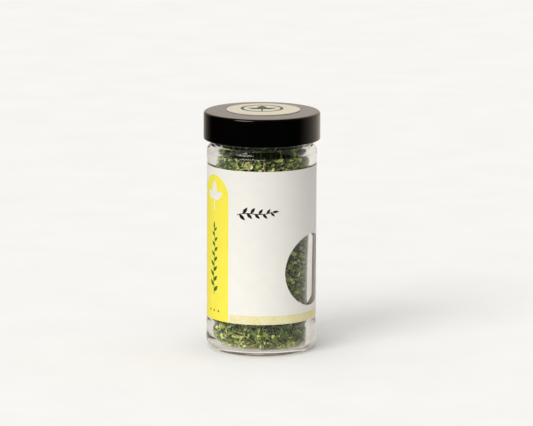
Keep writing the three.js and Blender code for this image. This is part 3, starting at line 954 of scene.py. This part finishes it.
def strewn(name, tree, skin, variants, material, **sizes):
    """Strews variants over the skin, presses them inside the glass and keeps the result as a plain mesh."""
    group = bpy.data.collections.new(name + "_variants")
    for piece in variants:
        group.objects.link(piece)
    modifier = skin.modifiers.new("strewing", "NODES")
    modifier.node_group = tree
    values = {"Variants": group, "Material": material, **sizes}
    for item in tree.interface.items_tree:
        if item.name in values:
            modifier[item.identifier] = values[item.name]
    mesh = bpy.data.meshes.new_from_object(skin.evaluated_get(bpy.context.evaluated_depsgraph_get()))
    mesh.name = name
    skin.modifiers.remove(modifier)
    for piece in variants:
        bpy.data.objects.remove(piece)
    bpy.data.collections.remove(group)
    points = np.zeros(len(mesh.vertices) * 3, np.float32)
    mesh.vertices.foreach_get("co", points)
    points = pressed(points.reshape(-1, 3).astype(float) / MM) * MM
    mesh.vertices.foreach_set("co", points.astype(np.float32).ravel())
    mesh.update()
    piece = bpy.data.objects.new(name, mesh)
    bpy.context.scene.collection.objects.link(piece)
    return piece


def make_core():
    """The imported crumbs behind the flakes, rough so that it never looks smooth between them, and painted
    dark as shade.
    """
    side, bore = INNER_RADIUS - CORE_DEPTH, BORE_RADIUS - CORE_DEPTH
    corners = [
        (0, FLOOR_Z + CORE_DEPTH, 0),
        (side, FLOOR_Z + CORE_DEPTH, 2.0),
        (side, INNER_SHOULDER_Z, 2.0),
        (bore, BORE_FOOT_Z, 2.0),
        (bore, FILL_TOP_Z - 1.6, 1.0),
        (0, FILL_TOP_Z - 1.2, 0),
    ]
    random = np.random.default_rng(SEED)

    def shape(radius, height, around):
        rough = random.uniform(-0.5, 0.5, radius.shape)
        return radius + rough * smoothstep(radius / 5), height + rough

    return turned("packed_crumbs", divided(filleted(corners), 1.2), [core_in_painted_shade()], shape, sides=120)


def make_parsley():
    """The fill: flakes, small crumbs and bits of stalk inside the glass, and the core behind them; crumbs and
    core are painted dark as shade.
    """
    tree = strewing_tree()
    random = np.random.default_rng(SEED)
    skin = fill_skin(SKIN_DEPTH)
    leaves = [crumpled_leaf(random, f"leaf_scrap_{i}", 7 + i % 4, 2) for i in range(14)]
    flakes = strewn(
        "leaf_flakes", tree, skin, leaves, dried_leaf("dried_parsley_leaf", 1.55),
        Density=800000.0, Seed=3, Smallest=1.6, Largest=4.4, Depth=0.0024, Lean=1.0,
    )
    specks = [crumpled_leaf(random, f"leaf_speck_{i}", 5 + i % 2, 1) for i in range(10)]
    # The crumbs are coloured far darker than the flakes: painted shade in the gaps between them.
    crumbs = strewn(
        "leaf_crumbs", tree, skin, specks, dried_leaf("dried_parsley_crumbs_painted_shade", 0.45),
        Density=1500000.0, Seed=11, Smallest=0.8, Largest=2.2, Depth=0.002, Lean=1.1,
    )
    stalks = [stalk_bit(random, f"stalk_{i}") for i in range(6)]
    stems = strewn(
        "stalk_bits", tree, skin, stalks, dried_stem(),
        Density=35000.0, Seed=5, Smallest=2.2, Largest=7.5, Depth=0.001, Lean=0.25,
    )
    bpy.data.objects.remove(skin)
    return flakes, crumbs, stems, make_core()


# Camera, floor and light

def make_camera():
    """A long lens a little above the jar, turned so that the jar stands left of and below the middle."""
    scene = bpy.context.scene
    data = bpy.data.cameras.new("camera")
    camera = bpy.data.objects.new("camera", data)
    scene.collection.objects.link(camera)
    data.sensor_width = 36.0
    data.lens = FOCAL_PIXELS * data.sensor_width / PHOTO_SIZE[0]
    data.clip_start, data.clip_end = 0.1, 100
    camera.location = CAMERA_PLACE
    offset = Vector((AIM_PIXEL[0] - PHOTO_SIZE[0] / 2, PHOTO_SIZE[1] / 2 - AIM_PIXEL[1], -FOCAL_PIXELS))
    look = (Vector(AIM) - Vector(CAMERA_PLACE)).to_track_quat("-Z", "Y")
    turn = offset.normalized().rotation_difference(Vector((0, 0, -1)))
    camera.rotation_mode = "QUATERNION"
    camera.rotation_quaternion = look @ turn @ Quaternion((0, 0, 1), CAMERA_ROLL)
    scene.camera = camera


def make_floor():
    """A pale seamless paper floor, which ends a little in front of the jar as a studio sweep does."""
    material, tree, shader, _ = new_material("matt_white_background_paper")
    fibre = speckle(tree, 40.0, 3.0)
    tone = ramp(tree, fibre, [(0.3, srgb(FLOOR_COLOUR[0])), (0.7, srgb(FLOOR_COLOUR[1]))])
    tree.links.new(tone, shader.inputs["Base Color"])
    shader.inputs["Roughness"].default_value = 1.0
    shader.inputs["Specular IOR Level"].default_value = 0.0
    low, high = Vector(FLOOR_LOW), Vector(FLOOR_HIGH)
    points = [(low.x, low.y, 0), (high.x, low.y, 0), (high.x, high.y, 0), (low.x, high.y, 0)]
    mesh = bpy.data.meshes.new("floor")
    mesh.from_pydata([tuple(c * MM for c in p) for p in points], [], [(0, 1, 2, 3)])
    mesh.materials.append(material)
    floor = bpy.data.objects.new("floor", mesh)
    bpy.context.scene.collection.objects.link(floor)
    floor.visible_glossy = False


def make_sun(name, azimuth, elevation, angle, strength, mirrored):
    """A soft lamp from a side: its azimuth is 0 at the front and grows to the right."""
    data = bpy.data.lights.new(name, "SUN")
    data.energy, data.angle, data.color = strength, math.radians(angle), srgb(LIGHT_COLOUR)[:3]
    lamp = bpy.data.objects.new(name, data)
    a, e = math.radians(azimuth), math.radians(elevation)
    towards = Vector((math.sin(a) * math.cos(e), -math.cos(a) * math.cos(e), math.sin(e)))
    lamp.rotation_mode = "QUATERNION"
    lamp.rotation_quaternion = towards.to_track_quat("Z", "Y")
    lamp.visible_glossy = mirrored
    bpy.context.scene.collection.objects.link(lamp)


def make_world():
    """A white studio: an even pale backdrop, light mostly from above, and a dark room in front, for gloss."""
    world = bpy.data.worlds.new("white_studio")
    bpy.context.scene.world = world
    world.use_nodes = True
    tree = world.node_tree
    tree.nodes.clear()
    path = add(tree, "ShaderNodeLightPath").outputs
    direction = add(tree, "ShaderNodeTexCoord").outputs["Generated"]

    def studio(colour, strength):
        return add(tree, "ShaderNodeBackground", {"Color": srgb(colour), "Strength": strength}).outputs[0]

    def maths(operation, first, second):
        return add(tree, "ShaderNodeMath", {0: first, 1: second}, operation=operation).outputs[0]

    def room(colour, towards, limits, bend):
        """The room as gloss or glass shows it, from dark in front to the bright backdrop."""
        along = add(tree, "ShaderNodeVectorMath", {0: direction, 1: towards}, operation="DOT_PRODUCT")
        share = add(tree, "ShaderNodeMapRange", {
            "Value": along.outputs["Value"], "From Min": limits[0], "From Max": limits[1],
        }).outputs["Result"]
        return studio(colour, maths("POWER", share, bend))

    height = maths("MAXIMUM", add(tree, "ShaderNodeSeparateXYZ", {"Vector": direction}).outputs["Z"], 0.0)
    above = maths("MULTIPLY", maths("POWER", height, TOP_LIGHT_POWER), TOP_LIGHT)
    light = studio(LIGHT_COLOUR, maths("ADD", above, LEAST_LIGHT))
    for ray, seen in (
        ("Is Glossy Ray", room(*GLOSS_ROOM)),
        ("Is Transmission Ray", room(*GLASS_ROOM)),
        ("Is Camera Ray", studio(BACKDROP_COLOUR, 1.0)),
    ):
        light = add(tree, "ShaderNodeMixShader", {0: path[ray], 1: light, 2: seen}).outputs[0]
    add(tree, "ShaderNodeOutputWorld", {"Surface": light})


def set_look():
    """Plain colours, and enough bounces for light to find its way through the glass and the flakes."""
    scene = bpy.context.scene
    scene.view_settings.view_transform = "Standard"
    scene.cycles.use_denoising = True
    scene.cycles.max_bounces = BOUNCES
    scene.cycles.transmission_bounces = GLASS_BOUNCES
    scene.cycles.transparent_max_bounces = BOUNCES


make_camera()
make_floor()
make_world()
make_sun("key_softbox", *KEY_LIGHT, mirrored=True)
make_sun("side_window", *SIDE_LIGHT, mirrored=False)
set_look()

jar_glass = make_jar()
flakes, crumbs, stems, core = make_parsley()
label = make_label()
cap = make_cap()
liner = make_liner()
sticker = make_sticker()

for piece, body, slot, node in (
    (jar_glass, "jar", "clear_glass", "jar"),
    (flakes, "jar", "dried_leaf", "parsley_flakes"),
    (crumbs, "jar", "dried_leaf", "parsley_flakes"),
    (stems, "jar", "dried_leaf", "parsley_flakes"),
    (core, "jar", "dried_leaf", "parsley_flakes"),
    (label, "jar", "label_paper", "label"),
    (cap, "cap", "black_plastic", "cap"),
    (liner, "liner", "white_foam", "cap_liner"),
    (sticker, "cap", "sticker_paper", "cap_sticker"),
):
    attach(piece, body)
    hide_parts(node)
